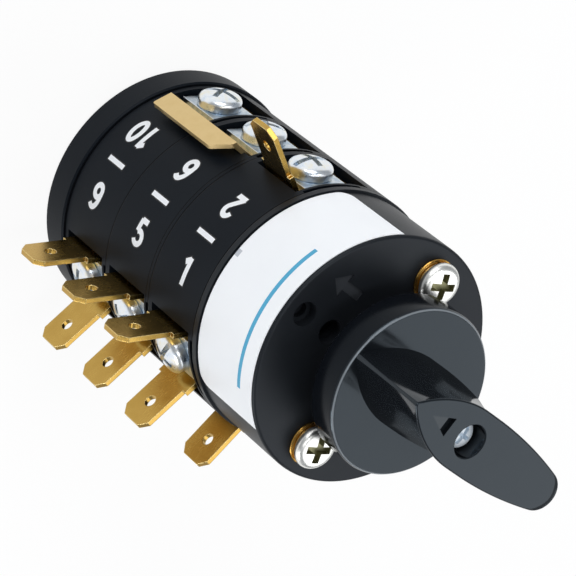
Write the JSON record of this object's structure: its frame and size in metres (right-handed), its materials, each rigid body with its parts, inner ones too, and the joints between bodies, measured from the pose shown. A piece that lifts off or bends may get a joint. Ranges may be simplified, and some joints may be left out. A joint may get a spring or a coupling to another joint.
{
  "type": "rotary cam switch",
  "caption": "Rotary cam switch: stacked round contact chambers with brass screw and blade terminals, a labelled front cover with panel screws, and a lever knob that turns the cams.",
  "frame": {"origin": "centre of the front cover's panel face, on the spindle's axis", "axes": "+Z along the spindle towards the knob, -Y towards the numbered side, +X right-handed; the switch stands on its back cover"},
  "size_m": [0.0491, 0.0451, 0.0849],
  "materials": {
    "cover_plastic": "fine satin",
    "knob_plastic": "polished",
    "label_film": "satin film",
    "zinc_steel": "bright zinc",
    "nickel_steel": "nickel plated",
    "brass_parts": "bright rolled sheet",
    "insert_brass": "turned",
    "spindle_steel": "drawn bar",
    "cam_plastic": "moulded",
    "plunger_plastic": "moulded",
    "bridge_metal": "pressed",
    "spring_steel": "spring wire"
  },
  "bodies": {
    "housing": {"front_cover": "cover_plastic", "label": "label_film", "panel_screws": "nickel_steel", "spring_washers": "nickel_steel", "flat_washers": "insert_brass", "threaded_inserts": "insert_brass", "chamber_1": "cover_plastic", "chamber_2": "cover_plastic", "chamber_3": "cover_plastic", "back_cover": "cover_plastic", "tie_bolts": "zinc_steel", "detent_rollers": "spring_steel", "detent_springs": "spring_steel", "contact_spring_1a": "spring_steel", "contact_spring_1b": "spring_steel", "contact_spring_2a": "spring_steel", "contact_spring_2b": "spring_steel", "contact_spring_3a": "spring_steel", "contact_spring_3b": "spring_steel", "contact_strip_1": "brass_parts", "contact_strip_2": "brass_parts", "contact_strip_3": "brass_parts", "contact_strip_4": "brass_parts", "contact_strip_5": "brass_parts", "contact_strip_6": "brass_parts", "contact_strip_7": "brass_parts", "contact_strip_8": "brass_parts", "contact_strip_9": "brass_parts", "contact_strip_10": "brass_parts", "contact_strip_11": "brass_parts", "contact_strip_12": "brass_parts", "double_tab_1": "brass_parts", "double_tab_5": "brass_parts", "double_tab_9": "brass_parts", "single_tab_2": "brass_parts", "single_tab_4": "brass_parts", "link_6_10": "brass_parts", "link_8_12": "brass_parts", "clamp_washers": "zinc_steel", "terminal_screws": "zinc_steel"},
    "rotor": {"knob": "knob_plastic", "knob_screw": "zinc_steel", "spindle": "spindle_steel", "detent_star": "cam_plastic", "cam_1": "cam_plastic", "cam_2": "cam_plastic", "cam_3": "cam_plastic"},
    "plunger_1a": {"plunger_1a": "plunger_plastic", "bridge_1a": "bridge_metal"},
    "plunger_1b": {"plunger_1b": "plunger_plastic", "bridge_1b": "bridge_metal"},
    "plunger_2a": {"plunger_2a": "plunger_plastic", "bridge_2a": "bridge_metal"},
    "plunger_2b": {"plunger_2b": "plunger_plastic", "bridge_2b": "bridge_metal"},
    "plunger_3a": {"plunger_3a": "plunger_plastic", "bridge_3a": "bridge_metal"},
    "plunger_3b": {"plunger_3b": "plunger_plastic", "bridge_3b": "bridge_metal"}
  },
  "joints": [
    {"name": "knob_turn", "type": "hinge", "parent": "housing", "child": "rotor", "pos_m": [0, 0, 0], "axis": [0, 0, 1], "range_deg": [-60, 60]},
    {"name": "plunger_1a_slide", "type": "slide", "parent": "housing", "child": "plunger_1a", "axis": [0, -1, 0], "range_m": [-0.00075, 0.00075], "deforming": ["contact_spring_1a"]},
    {"name": "plunger_1b_slide", "type": "slide", "parent": "housing", "child": "plunger_1b", "axis": [0, 1, 0], "range_m": [-0.00076, 0.00076], "deforming": ["contact_spring_1b"]},
    {"name": "plunger_2a_slide", "type": "slide", "parent": "housing", "child": "plunger_2a", "axis": [0, -1, 0], "range_m": [-0.00076, 0.00076], "deforming": ["contact_spring_2a"]},
    {"name": "plunger_2b_slide", "type": "slide", "parent": "housing", "child": "plunger_2b", "axis": [0, 1, 0], "range_m": [-0.00076, 0.00076], "deforming": ["contact_spring_2b"]},
    {"name": "plunger_3a_slide", "type": "slide", "parent": "housing", "child": "plunger_3a", "axis": [0, -1, 0], "range_m": [-0.00076, 0.00076], "deforming": ["contact_spring_3a"]},
    {"name": "plunger_3b_slide", "type": "slide", "parent": "housing", "child": "plunger_3b", "axis": [0, 1, 0], "range_m": [-0.00076, 0.00076], "deforming": ["contact_spring_3b"]}
  ],
  "couplings": [
    {"joint": "knob_turn", "follows": "plunger_1a_slide", "rad_per_m": 1396.2},
    {"joint": "plunger_1b_slide", "follows": "plunger_1a_slide", "ratio": -1},
    {"joint": "plunger_2a_slide", "follows": "plunger_1a_slide", "ratio": 1},
    {"joint": "plunger_2b_slide", "follows": "plunger_1a_slide", "ratio": -1},
    {"joint": "plunger_3a_slide", "follows": "plunger_1a_slide", "ratio": 1},
    {"joint": "plunger_3b_slide", "follows": "plunger_1a_slide", "ratio": -1}
  ]
}
